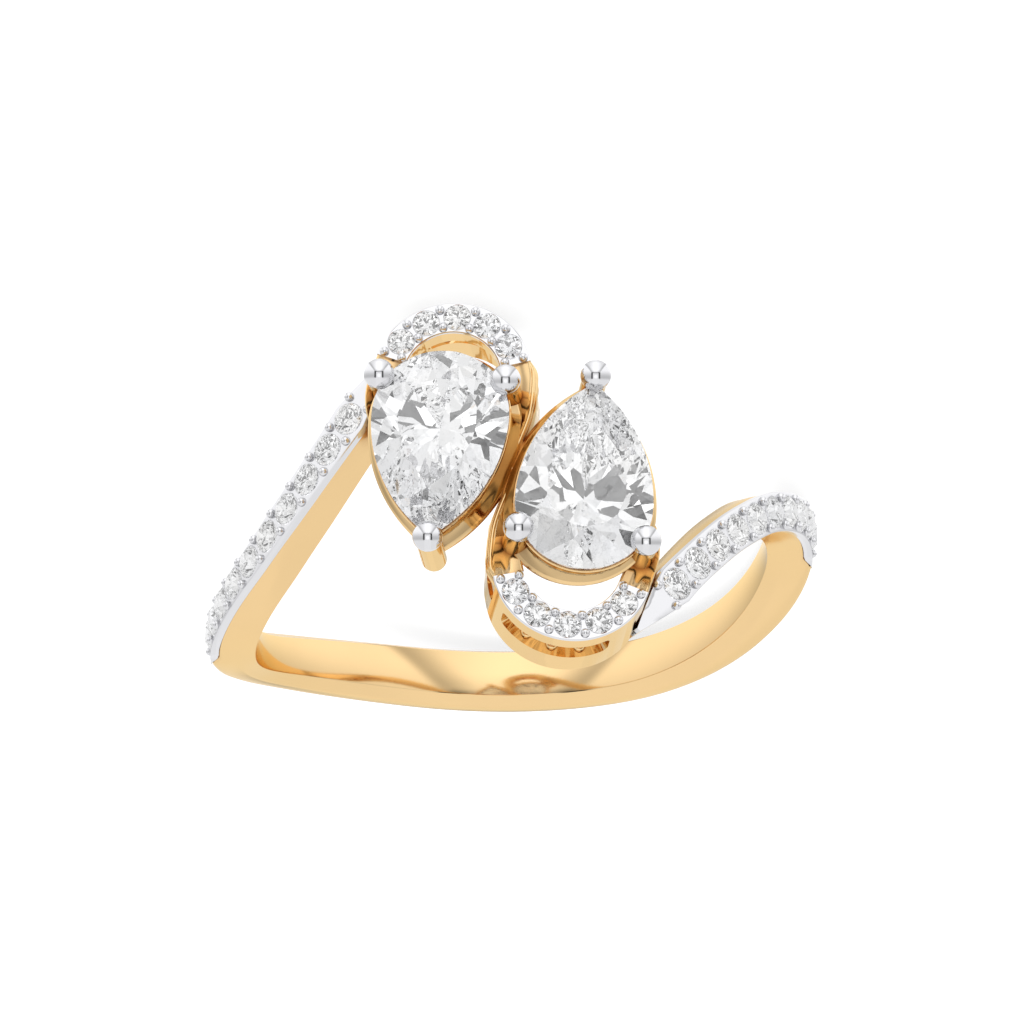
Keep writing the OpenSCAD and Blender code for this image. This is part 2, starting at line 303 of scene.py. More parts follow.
def bake(piece):
    """Makes a piece's modifiers its own mesh."""
    graph = bpy.context.evaluated_depsgraph_get()
    mesh = bpy.data.meshes.new_from_object(piece.evaluated_get(graph))
    piece.modifiers.clear()
    piece.data = mesh


def cutter_object(bm):
    """A shape that is only there to be cut out of another."""
    for face in bm.faces:
        face.material_index = 1
    return lay_down(bm, "cutter")


def ream(bm):
    """Keeps the shape out of the finger hole."""
    radius = settings()[0].finger_d / 2
    for v in bm.verts:
        reach = math.hypot(v.co.x, v.co.z)
        if reach < radius:
            v.co.x *= radius / reach
            v.co.z *= radius / reach


# The band's course

# Each row holds: share of the arc, share of the shoulder's swing, share of the reach to the
# collar, width and dome as shares
SECTIONS = [
    (0.00, 0.00, 0.00, 0.00, 1.00), (0.17, 0.04, 0.00, 0.06, 1.00),
    (0.26, 0.16, 0.00, 0.18, 1.00), (0.35, 0.37, 0.00, 0.33, 1.00),
    (0.43, 0.63, 0.00, 0.48, 0.90), (0.51, 0.88, 0.00, 0.65, 0.60),
    (0.57, 0.98, 0.00, 0.80, 0.20), (0.64, 1.00, 0.00, 1.00, 0.00),
    (0.69, 0.97, 0.03, 1.00, 0.00), (0.74, 0.93, 0.09, 1.00, 0.00),
    (0.79, 0.92, 0.19, 1.00, 0.00), (0.82, 0.84, 0.28, 1.00, 0.00),
    (0.86, 0.72, 0.38, 1.00, 0.00), (0.89, 0.58, 0.49, 1.00, 0.00),
    (0.92, 0.42, 0.59, 1.00, 0.00), (0.95, 0.25, 0.71, 1.00, 0.00),
    (0.975, 0.10, 0.84, 0.75, 0.00), (1.00, 0.00, 1.00, 0.35, 0.00)]
SWING, REACH, WIDTH, DOME = 1, 2, 3, 4
STONES_END = 0.948
TAPER_FROM = 0.95
FINE = 400


def catmull(a, b, c, d, t):
    return 0.5 * (2 * b + (c - a) * t + (2 * a - 5 * b + 4 * c - d) * t * t
                  + (3 * b - a - 3 * c + d) * t ** 3)


def blend(s, column):
    last = len(SECTIONS) - 1
    i = next((k for k in range(last) if SECTIONS[k + 1][0] >= s), last - 1)
    rows = [SECTIONS[max(i - 1, 0)], SECTIONS[i], SECTIONS[i + 1], SECTIONS[min(i + 2, last)]]
    t = (s - rows[1][0]) / (rows[2][0] - rows[1][0])
    return catmull(*(row[column] for row in rows), t)


def look_up(pairs, value):
    """The second number of a pair, where the first one, which rises, reaches a value."""
    for (a0, b0), (a1, b1) in zip(pairs, pairs[1:]):
        if a1 >= value:
            return b0 + (b1 - b0) * (value - a0) / (a1 - a0)
    return pairs[-1][1]


def smooth_line(knots, steps):
    """A smooth line through the knots, with a number of steps between two of them."""
    line = []
    for i in range(len(knots) - 1):
        a, b = knots[max(i - 1, 0)], knots[i]
        c, d = knots[i + 1], knots[min(i + 2, len(knots) - 1)]
        line += [catmull(a, b, c, d, j / steps) for j in range(steps)]
    return line + [knots[-1]]


def heading(line, i):
    """The direction of a line at one of its points."""
    return (line[min(i + 1, len(line) - 1)] - line[max(i - 1, 0)]).normalized()


class Course:
    """The band's middle line, from the lowest point up to the left collar."""

    def __init__(self):
        band, head, stones, _ = settings()
        pear_r = head.pear_w / 2
        self.arm_r = band.finger_d / 2 + band.arm_t
        self.land_y = head.pair_y + 1.42 * pear_r
        self.end = math.pi - math.asin((head.pair_x + 0.8 * pear_r) / self.arm_r)
        self.swing = band.swing
        self.rows = []
        for column in (SWING, REACH, WIDTH, DOME):
            row = [blend(i / FINE, column) for i in range(FINE + 1)]
            for _ in range(150):
                row = ([row[0]] + [(a + 2 * b + c) / 4 for a, b, c in
                                   zip(row, row[1:], row[2:])] + [row[-1]])
            self.rows.append(row)
        self.lengths = [(0.0, 0.0)]
        for i in range(FINE):
            step = (self.point((i + 1) / FINE, self.arm_r, 0)
                    - self.point(i / FINE, self.arm_r, 0)).length
            self.lengths.append((self.lengths[-1][0] + step, (i + 1) / FINE))
        self.pitch = stones.arm_d + stones.bead_gap

    def share(self, s, column):
        at = min(abs(s), 1) * FINE
        i = min(int(at), FINE - 1)
        row = self.rows[column - 1]
        return row[i] + (row[i + 1] - row[i]) * (at - i)

    def side_y(self, s):
        return self.land_y * self.share(s, REACH) - self.swing * self.share(s, SWING)

    def slope(self, s):
        a, b = max(s - 0.01, 0), min(s + 0.01, 1)
        return math.atan2(self.side_y(b) - self.side_y(a), self.arm_r * (b - a) * self.end)

    def point(self, s, r, w):
        """A point at a radius r and a distance w across the band. Below 0 is the right half."""
        if s < 0:
            p = self.point(-s, r, -w)
            return Vector((-p.x, -p.y, p.z))
        a, b = s * self.end, self.slope(s)
        return Vector((-r * math.sin(a) + w * math.sin(b) * math.cos(a),
                       self.side_y(s) + w * math.cos(b),
                       -r * math.cos(a) - w * math.sin(b) * math.sin(a)))

    def stone_share(self, i):
        """Where stone i lies. The first is the one by the collar."""
        end = look_up([(s, run) for run, s in self.lengths], STONES_END)
        return look_up(self.lengths, end - i * self.pitch)

    def place(self, side, s):
        """The frame on top of an arm: Z out of the metal and Y across the band."""
        return (half_turn(side) @ Matrix.Translation(self.point(s, self.arm_r, 0))
                @ Matrix.Rotation(s * self.end + math.pi, 4, "Y")
                @ Matrix.Rotation(self.slope(s), 4, "Z"))

    def width(self, s):
        band = settings()[0]
        k = self.share(s, WIDTH)
        t = max((abs(s) - TAPER_FROM) / (1 - TAPER_FROM), 0)
        if t:
            k = 1
        return (band.band_w + (band.arm_w - band.band_w) * min(k, 1)) / 2 * (1 - 0.9 * t ** 1.3)

    def top(self, s):
        """The radius of the band's outside."""
        band = settings()[0]
        return self.arm_r + (band.finger_d / 2 + band.band_t - self.arm_r) * self.share(s, DOME)

    def plate_share(self, s):
        """How much of the white plate there is: none on the band and all of it on the arms."""
        t = min(max((abs(s) - self.plate_start()) / 0.03, 0), 1)
        return t * t * (3 - 2 * t)

    def plate_start(self):
        return self.stone_share(ARM_COUNT - 1) - 0.046


def band_section(course, s):
    """The band's section as (radius, width) points."""
    band = settings()[0]
    dome = course.share(s, DOME)
    w = course.width(s)
    plate = course.plate_share(s)
    top = course.top(s) - band.plate_t * plate
    bore = band.finger_d / 2
    lip = bore + band.slope_h
    cut = min(0.02 + band.slope_w * 1.1 * dome, w * 0.5)
    drop = 0.03 + 0.72 * dome
    deep = 0.34 * plate
    half = [(bore, w - cut - 0.05), (bore + 0.012, w - cut - 0.012), (bore + 0.05, w - cut),
            (lip - 0.1, w - 0.016 - 0.03 * dome), (lip, w - 0.004 * dome), (lip + 0.1, w),
            (top - drop, w - 0.02 * dome), (top - drop * 0.66, w - 0.003 - 0.067 * dome),
            (top - drop * 0.4, w - 0.01 - 0.14 * dome),
            (top - 0.12 * dome - 0.004, w * 0.95 - 0.27 * dome),
            (top - 0.03 * dome - deep, w * 0.88 - 0.45 * dome)]
    return ([(bore, 0)] + half + [(top - deep, 0)] + [(r, -w) for r, w in reversed(half)])


def arm_plate_section(course, s):
    """An arm plate's section as (radius, width) points, with a foot that is let into the gold."""
    w = course.width(s) + PROUD
    dome, plate = course.share(s, DOME), course.plate_share(s)
    top = course.top(s)
    low = top - settings()[0].plate_t * plate - 0.004
    deep = low - 0.33 * plate
    top += PROUD
    half = [(deep, w * 0.5), (deep, w * 0.85 - 0.1 * dome), (low, w * 0.92 - 0.1 * dome),
            (low, w - 0.07 * dome), (top - 0.03 - 0.1 * dome, w - 0.15 * dome),
            (top - 0.008 - 0.06 * dome, w - 0.012 - 0.22 * dome),
            (top - 0.02 * dome, w * 0.95 - 0.008 - 0.32 * dome), (top, w * 0.5)]
    return [(r, -x) for r, x in half] + [(r, x) for r, x in reversed(half)]


def pear_outline(count, grow=0.0):
    """(point, outward normal) round a main stone's edge, from the inner side by the round end."""
    head = settings()[1]
    pear_r = head.pear_w / 2
    point_y = head.pear_l - pear_r
    side_r = (point_y ** 2 + pear_r ** 2) / head.pear_w
    sweep_a = math.asin(point_y / side_r)
    round_part, side_part = math.pi * pear_r, sweep_a * side_r
    whole = round_part + 2 * side_part
    out = []
    for i in range(count):
        d = whole * i / count
        if d <= round_part:
            a = d / pear_r
            n = Vector((math.cos(a), math.sin(a), 0))
            p = n * pear_r
        elif d <= round_part + side_part:
            a = (d - round_part) / side_r
            n = Vector((-math.cos(a), -math.sin(a), 0))
            p = Vector((side_r - pear_r, 0, 0)) + n * side_r
        else:
            a = sweep_a - (d - round_part - side_part) / side_r
            n = Vector((math.cos(a), -math.sin(a), 0))
            p = Vector((pear_r - side_r, 0, 0)) + n * side_r
        out.append((p + n * grow, n))
    return out


# Collar plan, as shares of half the stone's width
INNER_LEG = [(1.02, -0.45), (1.13, -0.09), (1.22, 0.27), (1.24, 0.64)]
OUTER_LEG = [(-1.183, 0.536), (-1.14, 0.15), (-1, -0.1)]
# The slots' ends and the bosses' places, in degrees round the halo
SLOT_ARCS = [(-6, 22), (38, 124)]
BOSS_ANGLES = (58, 81, 104)


class Halo:
    """Where the halo of one cluster runs, in the stone's own frame."""

    def __init__(self):
        _, head, stones, _ = settings()
        pear_r = head.pear_w / 2
        self.y = 0.76 * pear_r
        self.x = 0.06 * pear_r
        self.r = pear_r + head.crescent_w + head.halo_w / 2 - self.y
        self.outer = self.r + head.halo_w / 2
        self.step = 2 * math.asin((stones.halo_d + stones.bead_gap) / (2 * self.r))
        self.top = -head.halo_drop
        self.height = head.upper_h + head.slot_h + head.lower_h

    def angle(self, i):
        return math.pi / 2 + (i - (HALO_COUNT - 1) / 2) * self.step

    def point(self, angle, r, z):
        return Vector((self.x + r * math.cos(angle), self.y + r * math.sin(angle), z))

    def place(self, side, i):
        return (cluster_place(side) @ Matrix.Translation(self.point(self.angle(i), self.r,
                                                                    self.top))
                @ Matrix.Rotation(self.angle(i), 4, "Z"))

    def outline(self, steps):
        """The collar's outer line, from the inner leg round to the outer leg."""
        pear_r = settings()[1].pear_w / 2
        arc = [self.point(math.radians(a), self.outer, 0) for a in range(10, 171, 20)]
        knots = ([Vector((x, y, 0)) * pear_r for x, y in INNER_LEG] + arc
                 + [Vector((x, y, 0)) * pear_r for x, y in OUTER_LEG])
        return smooth_line(knots, steps)


# Materials

def new_material(name, values):
    """A material and its shader, with these values on the shader's own sockets."""
    mat = bpy.data.materials.new(name)
    mat.use_nodes = True
    shader = mat.node_tree.nodes["Principled BSDF"]
    for socket, value in values.items():
        shader.inputs[socket].default_value = value
    return mat, shader


def noise(mat, scale, detail):
    nodes, links = mat.node_tree.nodes, mat.node_tree.links
    place, cloud = nodes.new("ShaderNodeTexCoord"), nodes.new("ShaderNodeTexNoise")
    cloud.inputs["Scale"].default_value = scale
    cloud.inputs["Detail"].default_value = detail
    links.new(place.outputs["Object"], cloud.inputs["Vector"])
    return cloud.outputs["Fac"]


def two_tones(mat, cloud, start, first, last):
    """Goes from one colour to the other across the middle of a noise."""
    tone = mat.node_tree.nodes.new("ShaderNodeValToRGB")
    for element, at, colour in zip(tone.color_ramp.elements, (start, 1 - start), (first, last)):
        element.position, element.color = at, (*colour, 1)
    mat.node_tree.links.new(cloud, tone.inputs["Fac"])
    return tone.outputs["Color"]


def metal_material(name, colour, roughness, recess_shade=None, reach=0.8, edge=(1, 1, 1)):
    """Polished metal: fine scratches, a faint uneven polish and painted shade in its recesses."""
    mat, shader = new_material(name, {"Metallic": 1.0, "Specular Tint": (*edge, 1)})
    nodes, links = mat.node_tree.nodes, mat.node_tree.links
    cloud = noise(mat, 420.0, 3.0)
    tone = two_tones(mat, cloud, 0.3, [c * 0.97 for c in colour], colour)
    # Painted shade: the colour darkens towards the recess colour where other metal stands close
    if recess_shade:
        hollow_shade = nodes.new("ShaderNodeAmbientOcclusion")
        hollow_shade.samples = 8
        hollow_shade.inputs["Distance"].default_value = reach * MM
        depth = nodes.new("ShaderNodeMapRange")
        depth.inputs["From Min"].default_value, depth.inputs["From Max"].default_value = 0.2, 0.8
        links.new(hollow_shade.outputs["AO"], depth.inputs["Value"])
        shade = nodes.new("ShaderNodeMix")
        shade.data_type = "RGBA"
        shade.inputs["A"].default_value = (*recess_shade, 1)
        links.new(depth.outputs["Result"], shade.inputs["Factor"])
        links.new(tone, shade.inputs["B"])
        tone = shade.outputs["Result"]
    links.new(tone, shader.inputs["Base Color"])
    # The polish varies a little with the same cloud
    sheen = nodes.new("ShaderNodeMapRange")
    sheen.inputs["To Min"].default_value = roughness * 0.8
    sheen.inputs["To Max"].default_value = roughness * 1.25
    links.new(cloud, sheen.inputs["Value"])
    links.new(sheen.outputs["Result"], shader.inputs["Roughness"])
    # Fine scratches
    bump = nodes.new("ShaderNodeBump")
    bump.inputs["Strength"].default_value = 0.02
    bump.inputs["Distance"].default_value = 0.00001
    links.new(noise(mat, 9000.0, 2.0), bump.inputs["Height"])
    links.new(bump.outputs["Normal"], shader.inputs["Normal"])
    return mat


def diamond_material():
    """Clear cut stone with a faint cloud of tone."""
    mat, shader = new_material("diamond_clear", {"Roughness": 0.0, "IOR": 2.417,
                                                 "Transmission Weight": 1.0})
    tone = two_tones(mat, noise(mat, 700.0, 2.0), 0.35, (0.965, 0.975, 1.0), (1, 0.995, 0.985))
    mat.node_tree.links.new(tone, shader.inputs["Base Color"])
    return mat


MATERIALS = {}


def material(name):
    if not MATERIALS:
        finish_set = settings()[3]
        # The recess colours are painted shade: dark brown in the gold's recesses, grey in the
        # white metal's
        hollow_shade, edge = (0.32, 0.115, 0.03), (0.95, 0.88, 0.7)
        gold, polish = finish_set.gold, finish_set.polish
        MATERIALS.update(
            gold=metal_material("gold_polished", gold, polish, hollow_shade, edge=edge),
            satin=metal_material("gold_satin", gold, polish * 2.2, hollow_shade, edge=edge),
            # A darker copy of the gold, painted shade for the rails' hollows
            deep=metal_material("gold_in_hollows", [c * 0.74 for c in gold], polish,
                                (0.3, 0.14, 0.055), edge=edge),
            # A brighter copy of the white metal for the stones' seats, painted light that shows
            # through the stones
            seat=metal_material("seat_mirror", (0.96, 0.96, 0.97), 0.05),
            white=metal_material("rhodium_polished", finish_set.white, polish,
                                 (0.42, 0.42, 0.43), 0.25),
            diamond=diamond_material())
    return MATERIALS[name]


# Pieces

class RING_OT_band(bpy.types.Operator):
    """Makes the finger band and its two arms"""
    bl_idname = "ring.band"
    bl_label = "Band"

    def execute(self, context):
        course = Course()
        bm = bmesh.new()
        rings = []
        for i in range(-BAND_STATIONS, BAND_STATIONS + 1):
            s = i / BAND_STATIONS
            rings.append([course.point(s, r, w) for r, w in band_section(course, s)])
        sweep(bm, rings)
        bore = settings()[0].finger_d / 2
        for face in bm.faces:
            middle = face.calc_center_median()
            if math.hypot(middle.x, middle.z) > bore + 0.02:
                face.material_index = 1
        finish(bm, "band", "gold", 24, lining="satin")
        return {"FINISHED"}


class RING_OT_arm_plates(bpy.types.Operator):
    """Makes the white plates that hold the arm stones, with their seats"""
    bl_idname = "ring.arm_plates"
    bl_label = "Arm plates"

    def execute(self, context):
        stones = settings()[2]
        course = Course()
        start = course.plate_start()
        for side in SIDES:
            bm = bmesh.new()
            rings = []
            for i in range(ARM_PLATE_STATIONS + 1):
                s = start + (1 - start) * i / ARM_PLATE_STATIONS
                rings.append([half_turn(side) @ course.point(s, r, w)
                              for r, w in arm_plate_section(course, s)])
            sweep(bm, rings)
            seats = seat_shapes(stones.arm_d, 0.54, 0.1, [
                course.place(side, course.stone_share(i)) for i in range(ARM_COUNT)])
            # The seats take the brighter copy of the white metal, painted light
            finish(bm, f"arm_plate_{side}", "white", cutter=cutter_object(seats), lining="seat")
        return {"FINISHED"}


def seat_shapes(d, depth, rim, places):
    """What is cut out below round stones: a cone under a short upright rim."""
    r = d / 2 + settings()[2].seat_gap
    bm = bmesh.new()
    for place in places:
        lathe(bm, [(0, -depth), (r * 0.2, -depth), (r, -rim), (r, 0.35), (0, 0.35)], 32, place)
    return bm


class RING_OT_collars(bpy.types.Operator):
    """Makes the two pierced collars"""
    bl_idname = "ring.collars"
    bl_label = "Collars"

    def execute(self, context):
        halo = Halo()
        for side in SIDES:
            bm = bmesh.new()
            sweep(bm, collar_rings(halo))
            bmesh.ops.transform(bm, matrix=cluster_place(side), verts=bm.verts)
            ream(bm)
            finish(bm, f"collar_{side}", "gold", cutter=cutter_object(slot_shapes(halo, side)),
                   bevel=0.02)
            finish(boss_shapes(halo, side), f"slot_bosses_{side}", "gold", 60)
        return {"FINISHED"}


def collar_rings(halo):
    """The collar's sections, from the inner leg round to the outer leg."""
    head = settings()[1]
    line = halo.outline(7)
    count = len(line)
    low, shelf = halo.top - halo.height, halo.top - head.upper_h
    keep_out = pear_outline(160, -head.rail_w)
    reach = (HALO_COUNT / 2 - 0.02) * halo.step
    rings = []
    for i, p in enumerate(line):
        run = heading(line, i)
        n = Vector((run.y, -run.x, 0))
        # The collar is thinner where the stone's rail comes near
        room = min(((q - p).dot(-n) for q, _ in keep_out
                    if abs((q - p).dot(run)) < 0.12 and (q - p).dot(-n) > 0),
                   default=head.halo_w)
        w = min(head.halo_w, room + 0.05)
        thin = min(head.lower_w, w)
        # Its top is hollow, deeper below the white plate, and comes down at both ends
        plate = 1.0 if abs(math.atan2(p.y - halo.y, p.x - halo.x)
                           - math.pi / 2) < reach else 0.0
        trough = 0.13 * min(w / head.halo_w, 1) + 0.38 * plate
        near = min(i / 7, 1) if i < count / 2 else min((count - 1 - i) / 5, 1)
        crest = halo.top - 0.1 * plate - 0.5 * (1 - near * near * (3 - 2 * near))
        section = [(0, low + 0.05), (0, crest - 0.04), (0.04, crest), (0.1, crest - 0.02),
                   (0.3 * w, crest - trough * 0.8), (0.5 * w, crest - trough),
                   (0.7 * w, crest - trough * 0.8), (w - 0.1 * w, crest - 0.02),
                   (w - 0.04 * w, crest), (w, crest - 0.04), (w, shelf), (thin, shelf - 0.02),
                   (thin, low + 0.05), (thin - 0.05, low), (0.05, low)]
        rings.append([p - n * d + Vector((0, 0, z)) for d, z in section])
    return rings


def slot_shapes(halo, side):
    """What is cut out of a collar's wall."""
    head = settings()[1]
    shelf = halo.top - head.upper_h
    bm = bmesh.new()
    for a1, a2 in SLOT_ARCS:
        corners = rounded_slot(math.radians(a1), math.radians(a2), shelf - head.slot_h, shelf,
                               0.22, halo.outer)
        sweep(bm, [[halo.point(a, r, z) for a, z in corners]
                   for r in (halo.outer - head.halo_w - 0.6, halo.outer + 2)])
    bmesh.ops.transform(bm, matrix=cluster_place(side), verts=bm.verts)
    return bm


def boss_shapes(halo, side):
    """The small round bosses on the floor of the long slot."""
    head = settings()[1]
    floor = halo.top - head.upper_h - head.slot_h
    profile = [(0, 0.02), (0.07, 0.05), (0.11, 0.11), (0.15, 0.13), (0.19, 0.11), (0.22, 0),
               (0.22, -0.1), (0, -0.1)]
    bm = bmesh.new()
    for a in BOSS_ANGLES:
        spot = halo.point(math.radians(a), halo.outer - 0.4, floor)
        lathe(bm, profile, 28, cluster_place(side) @ Matrix.Translation(spot))
    return bm


def rounded_slot(a1, a2, z1, z2, corner, radius):
    """A slot's outline as (angle, height) points, with round corners."""
    turn = corner / radius
    out = []
    for ca, cz, start in ((a2 - turn, z2 - corner, 0), (a1 + turn, z2 - corner, 90),
                          (a1 + turn, z1 + corner, 180), (a2 - turn, z1 + corner, 270)):
        for k in range(5):
            b = math.radians(start + 22.5 * k)
            out.append((ca + turn * math.cos(b), cz + corner * math.sin(b)))
    whole = []
    for (a, z), (b, y) in zip(out, out[1:] + out[:1]):
        parts = max(1, int(abs(b - a) / math.radians(4)))
        whole += [(a + (b - a) * k / parts, z + (y - z) * k / parts) for k in range(parts)]
    return whole


class RING_OT_halo_plates(bpy.types.Operator):
    """Makes the white plates that hold the halo stones"""
    bl_idname = "ring.halo_plates"
    bl_label = "Halo plates"

    def execute(self, context):
        _, head, stones, _ = settings()
        halo = Halo()
        reach = (HALO_COUNT / 2 + 0.12) * halo.step
        for side in SIDES:
            bm = bmesh.new()
            rings = []
            outer, inner = halo.outer + PROUD, halo.outer - head.halo_w - PROUD
            for i in range(HALO_PLATE_STATIONS + 1):
                a = math.pi / 2 - reach + 2 * reach * i / HALO_PLATE_STATIONS
                section = [(inner + 0.09, -0.5), (inner + 0.07, -0.11), (inner, -0.105),
                           (inner, -0.02), (inner + 0.03, 0.015), (outer - 0.03, 0.015),
                           (outer, -0.02), (outer, -0.105), (outer - 0.07, -0.11),
                           (outer - 0.09, -0.5)]
                rings.append([halo.point(a, r, halo.top + z) for r, z in section])
            sweep(bm, rings)
            bmesh.ops.transform(bm, matrix=cluster_place(side), verts=bm.verts)
            seats = seat_shapes(stones.halo_d, 0.46, 0.08, [
                halo.place(side, i) for i in range(HALO_COUNT)])
            # The seats take the brighter copy of the white metal, painted light
            finish(bm, f"halo_plate_{side}", "white", cutter=cutter_object(seats),
                   lining="seat")
        return {"FINISHED"}


class RING_OT_rails(bpy.types.Operator):
    """Makes the concave rail under each main stone"""
    bl_idname = "ring.rails"
    bl_label = "Rails"

    def execute(self, context):
        head = settings()[1]
        top = -0.16
        for side in SIDES:
            bm = bmesh.new()
            rings = []
            for p, n in pear_outline(RAIL_STATIONS):
                # 1 on the side that faces the other stone
                k = 0.5 + 0.5 * n.x
                lip = head.rail_w * (0.7 + 1.0 * k)
                deep = head.rail_h * (0.68 + 0.75 * k)
                dip = 0.05 + 0.13 * k
                section = [(-0.2, top - 0.1), (-0.1, top - 0.01), (-0.04, top + 0.02),
                           (0.03, top + 0.01), (0.055, top - 0.04)]
                for j in range(1, 10):
                    t = j / 10
                    section.append((0.05 + (lip - 0.05) * t * t - dip * math.sin(math.pi * t),
                                    top - 0.05 - (deep - 0.12) * t))
                section += [(lip, top - deep + 0.06), (lip + 0.015, top - deep + 0.03),
                            (lip, top - deep), (lip - 0.06, top - deep - 0.02),
                            (-0.2, top - deep), (-0.3, top - deep * 0.5)]
                rings.append([p + n * d + Vector((0, 0, z)) for d, z in section])
            hollow_shade = {v for loop in sweep(bm, rings, closed=True) for v in loop[5:14]}
            # The hollow's faces take the darker copy of the gold, painted shade
            for face in bm.faces:
                face.material_index = int(all(v in hollow_shade for v in face.verts))
            bmesh.ops.transform(bm, matrix=cluster_place(side), verts=bm.verts)
            finish(bm, f"rail_{side}", "gold", 40, lining="deep")
        return {"FINISHED"}


def claw_places():
    head = settings()[1]
    pear_r = head.pear_w / 2
    stand = pear_r + 0.14
    spots = [(stand * math.cos(a), stand * math.sin(a))
             for a in (head.claw_angle, math.pi - head.claw_angle)]
    return spots + [(0, -(head.pear_l - pear_r + 0.15))]


class RING_OT_claws(bpy.types.Operator):
    """Makes the claws: yellow stems with polished white round heads"""
    bl_idname = "ring.claws"
    bl_label = "Claws"

    def execute(self, context):
        head = settings()[1]
        head_z = 0.08 + head.claw_head_r * 0.64
        r = head.claw_stem_r
        for side in SIDES:
            heads, stems = bmesh.new(), bmesh.new()
            for x, y in claw_places():
                place = cluster_place(side) @ Matrix.Translation((x, y, 0))
                ball = bmesh.ops.create_uvsphere(heads, u_segments=48, v_segments=32,
                                                 radius=head.claw_head_r)
                bmesh.ops.transform(heads, verts=ball["verts"],
                                    matrix=place @ Matrix.Translation((0, 0, head_z)))
                foot = [(r * math.cos(math.radians(a)), -head.claw_drop + r * math.sin(
                    math.radians(a))) for a in range(-90, 1, 10)]
                foot[0] = (0, foot[0][1])
                lathe(stems, foot + [(r, 0), (r, head_z - 0.1), (0, head_z - 0.1)], 40, place)
            finish(heads, f"claw_heads_{side}", "white", 60)
            notch = bmesh.new()
            grind_pear(notch)
            bmesh.ops.scale(notch, vec=(1.02, 1.02, 1.02), verts=notch.verts)
            bmesh.ops.transform(notch, matrix=cluster_place(side), verts=notch.verts)
            finish(stems, f"claw_stems_{side}", "gold", 50, cutter=cutter_object(notch))
        return {"FINISHED"}


# Each strand of the link: its depth below the halo's top, its radius, how many points of the
# collar's outline it follows, and how far it stands out from the collar
STRANDS = ((0.14, 0.1, 9, 0.02), (0.42, 0.13, 9, 0.05), (0.74, 0.13, 8, 0.03),
           (1.2, 0.2, 4, 0.02), (1.75, 0.25, 4, 0.0))


class RING_OT_link(bpy.types.Operator):
    """Makes the S-shaped link between the two collars"""
    bl_idname = "ring.link"
    bl_label = "Link"

    def execute(self, context):
        halo = Halo()
        line = halo.outline(2)
        bm = bmesh.new()
        for drop, radius, reach, out in STRANDS:
            half = []
            for i in range(reach, -1, -1):
                run = heading(line, i)
                n = Vector((run.y, -run.x, 0))
                sink = 0.16 if i == reach else 0
                half.append(cluster_place("left") @ (
                    line[i] + n * (out - sink) + Vector((0, 0, halo.top - drop))))
            back = [Vector((-p.x, -p.y, p.z)) for p in reversed(half)]
            strand(bm, half + [Vector((0, 0, half[-1].z))] + back, radius)
        finish(bm, "link", "gold", 50)
        return {"FINISHED"}


def strand(bm, knots, radius):
    """A round strand of metal along a smooth line, a little taller than it is wide."""
    line = smooth_line(knots, 8)
    rings = []
    for i, p in enumerate(line):
        run = heading(line, i)
        n = run.cross(Vector((0, 0, 1))).normalized()
        up = n.cross(run)
        rings.append([p + n * radius * 0.85 * math.cos(a) + up * radius * 1.25 * math.sin(a)
                      for a in (2 * math.pi * k / 20 for k in range(20))])
    sweep(bm, rings)


class RING_OT_grains(bpy.types.Operator):
    """Makes the small raised grains between the small stones"""
    bl_idname = "ring.grains"
    bl_label = "Grains"

    def execute(self, context):
        band, _, stones, _ = settings()
        course, halo = Course(), Halo()
        for side in SIDES:
            bm = bmesh.new()
            places = []
            for i in range(ARM_COUNT + 1):
                s = course.stone_share(i - 0.5)
                out = band.arm_w / 2 - 0.19
                places += [course.place(side, s) @ Matrix.Translation((0, y, 0.05))
                           for y in (-out, out)]
            for i in range(HALO_COUNT + 1):
                a = math.pi / 2 + (i - HALO_COUNT / 2) * halo.step
                for r in (-0.32, 0.3):
                    places.append(cluster_place(side) @ Matrix.Translation(
                        halo.point(a, halo.r + r, halo.top + 0.05)))
            for place in places:
                grain = bmesh.ops.create_icosphere(bm, subdivisions=3, radius=stones.grain_r)
                bmesh.ops.transform(bm, verts=grain["verts"], matrix=place)
            finish(bm, f"grains_{side}", "white", 60)
        return {"FINISHED"}


# Cut stones

def grind(bm, point, normal):
    """Takes away what stands outside a plane and closes the flat it leaves."""
    cut = bmesh.ops.bisect_plane(bm, geom=bm.verts[:] + bm.edges[:] + bm.faces[:], dist=1e-6,
                                 plane_co=point, plane_no=normal, clear_outer=True)
    edges = [g for g in cut["geom_cut"] if isinstance(g, bmesh.types.BMEdge)]
    if len(edges) > 2:
        bmesh.ops.edgeloop_fill(bm, edges=edges)


def check_closed(bm):
    """Stops the script when a facet is missing."""
    if not all(edge.is_manifold for edge in bm.edges):
        raise RuntimeError("a cut stone isn't closed")


def facet_normal(outward, angle, up):
    """The normal of a facet that slopes at an angle from level, above or below the girdle."""
    n = outward * math.sin(angle)
    return Vector((n.x, n.y, math.cos(angle) * up))


def prism(bm, outline, low, high):
    sweep(bm, [[Vector((p.x, p.y, low)) for p, _ in outline],
               [Vector((p.x, p.y, high)) for p, _ in outline]])


